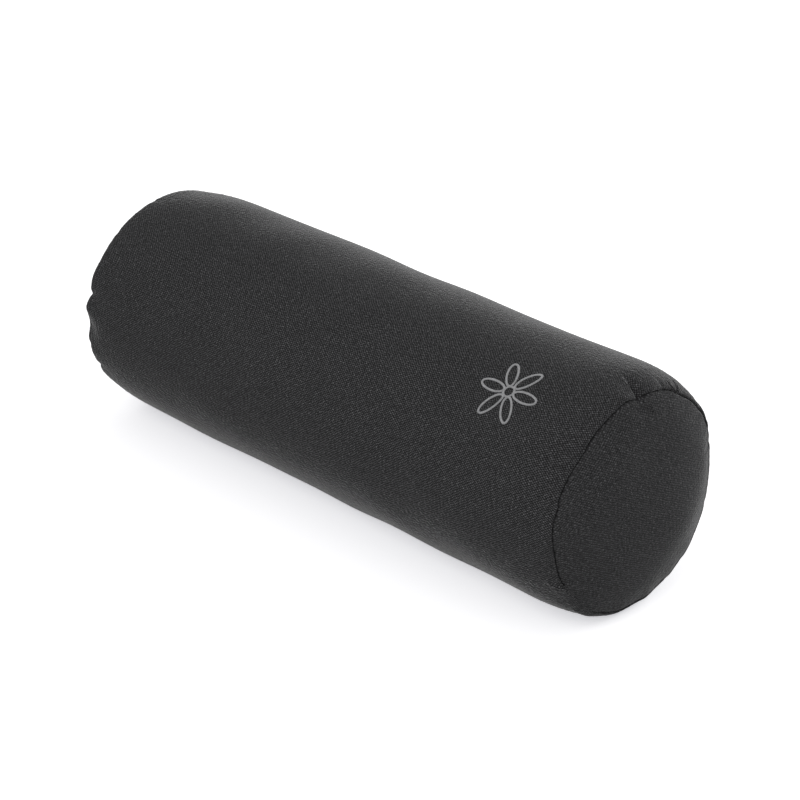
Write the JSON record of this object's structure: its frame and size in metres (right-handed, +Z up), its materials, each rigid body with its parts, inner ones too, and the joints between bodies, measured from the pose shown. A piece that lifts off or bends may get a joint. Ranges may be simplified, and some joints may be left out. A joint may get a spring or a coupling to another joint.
{
  "type": "yoga bolster",
  "caption": "Round zipped yoga bolster: a canvas cover with crowned ends over a sewn liner bag packed with fibre, resting on a flattened underside.",
  "frame": {"origin": "centre of the bolster's footprint, on the surface it rests on", "axes": "+X along the tube towards the badge end, +Z up, the zip on the +Y side"},
  "size_m": [0.65, 0.22, 0.215],
  "materials": {
    "canvas": "charcoal cotton canvas, plain weave",
    "sewing_thread": "black polyester sewing thread",
    "embroidery_thread": "light grey rayon embroidery thread in satin stitch",
    "backing": "white non-woven embroidery backing",
    "zip_tape": "black woven polyester tape",
    "zip_coil": "black nylon coil",
    "zip_stop": "black lacquered metal crimp",
    "zip_slider": "black lacquered die-cast zinc",
    "liner_cotton": "undyed cotton calico",
    "liner_thread": "white cotton thread",
    "kapok": "packed kapok fibre"
  },
  "bodies": {
    "bolster": {"cover_tube": "canvas", "cover_end_near": "canvas", "cover_end_far": "canvas", "cover_seam_thread_near": "sewing_thread", "cover_seam_thread_far": "sewing_thread", "embroidery": "embroidery_thread", "embroidery_backing": "backing", "zip_tape_upper": "zip_tape", "zip_tape_lower": "zip_tape", "zip_coil_upper": "zip_coil", "zip_coil_lower": "zip_coil", "zip_top_stop_upper": "zip_stop", "zip_top_stop_lower": "zip_stop", "zip_bottom_stop": "zip_stop", "zip_stitching_upper": "sewing_thread", "zip_stitching_lower": "sewing_thread", "bar_tack_near": "sewing_thread", "bar_tack_far": "sewing_thread", "liner_tube": "liner_cotton", "liner_end_near": "liner_cotton", "liner_end_far": "liner_cotton", "liner_seam_thread_near": "liner_thread", "liner_seam_thread_far": "liner_thread", "liner_closing_thread": "liner_thread", "filling": "kapok"},
    "slider": {"zip_slider": "zip_slider"},
    "pull": {"zip_pull": "zip_slider"}
  },
  "joints": [
    {"name": "slider_slide", "type": "slide", "parent": "bolster", "child": "slider", "axis": [1, 0, 0], "range_m": [0, 0.439]},
    {"name": "pull_hinge", "type": "hinge", "parent": "slider", "child": "pull", "pos_m": [-0.2095, 0.10439, 0.14824], "axis": [0, -0.3827, 0.9239], "range_deg": [0, 175]}
  ]
}
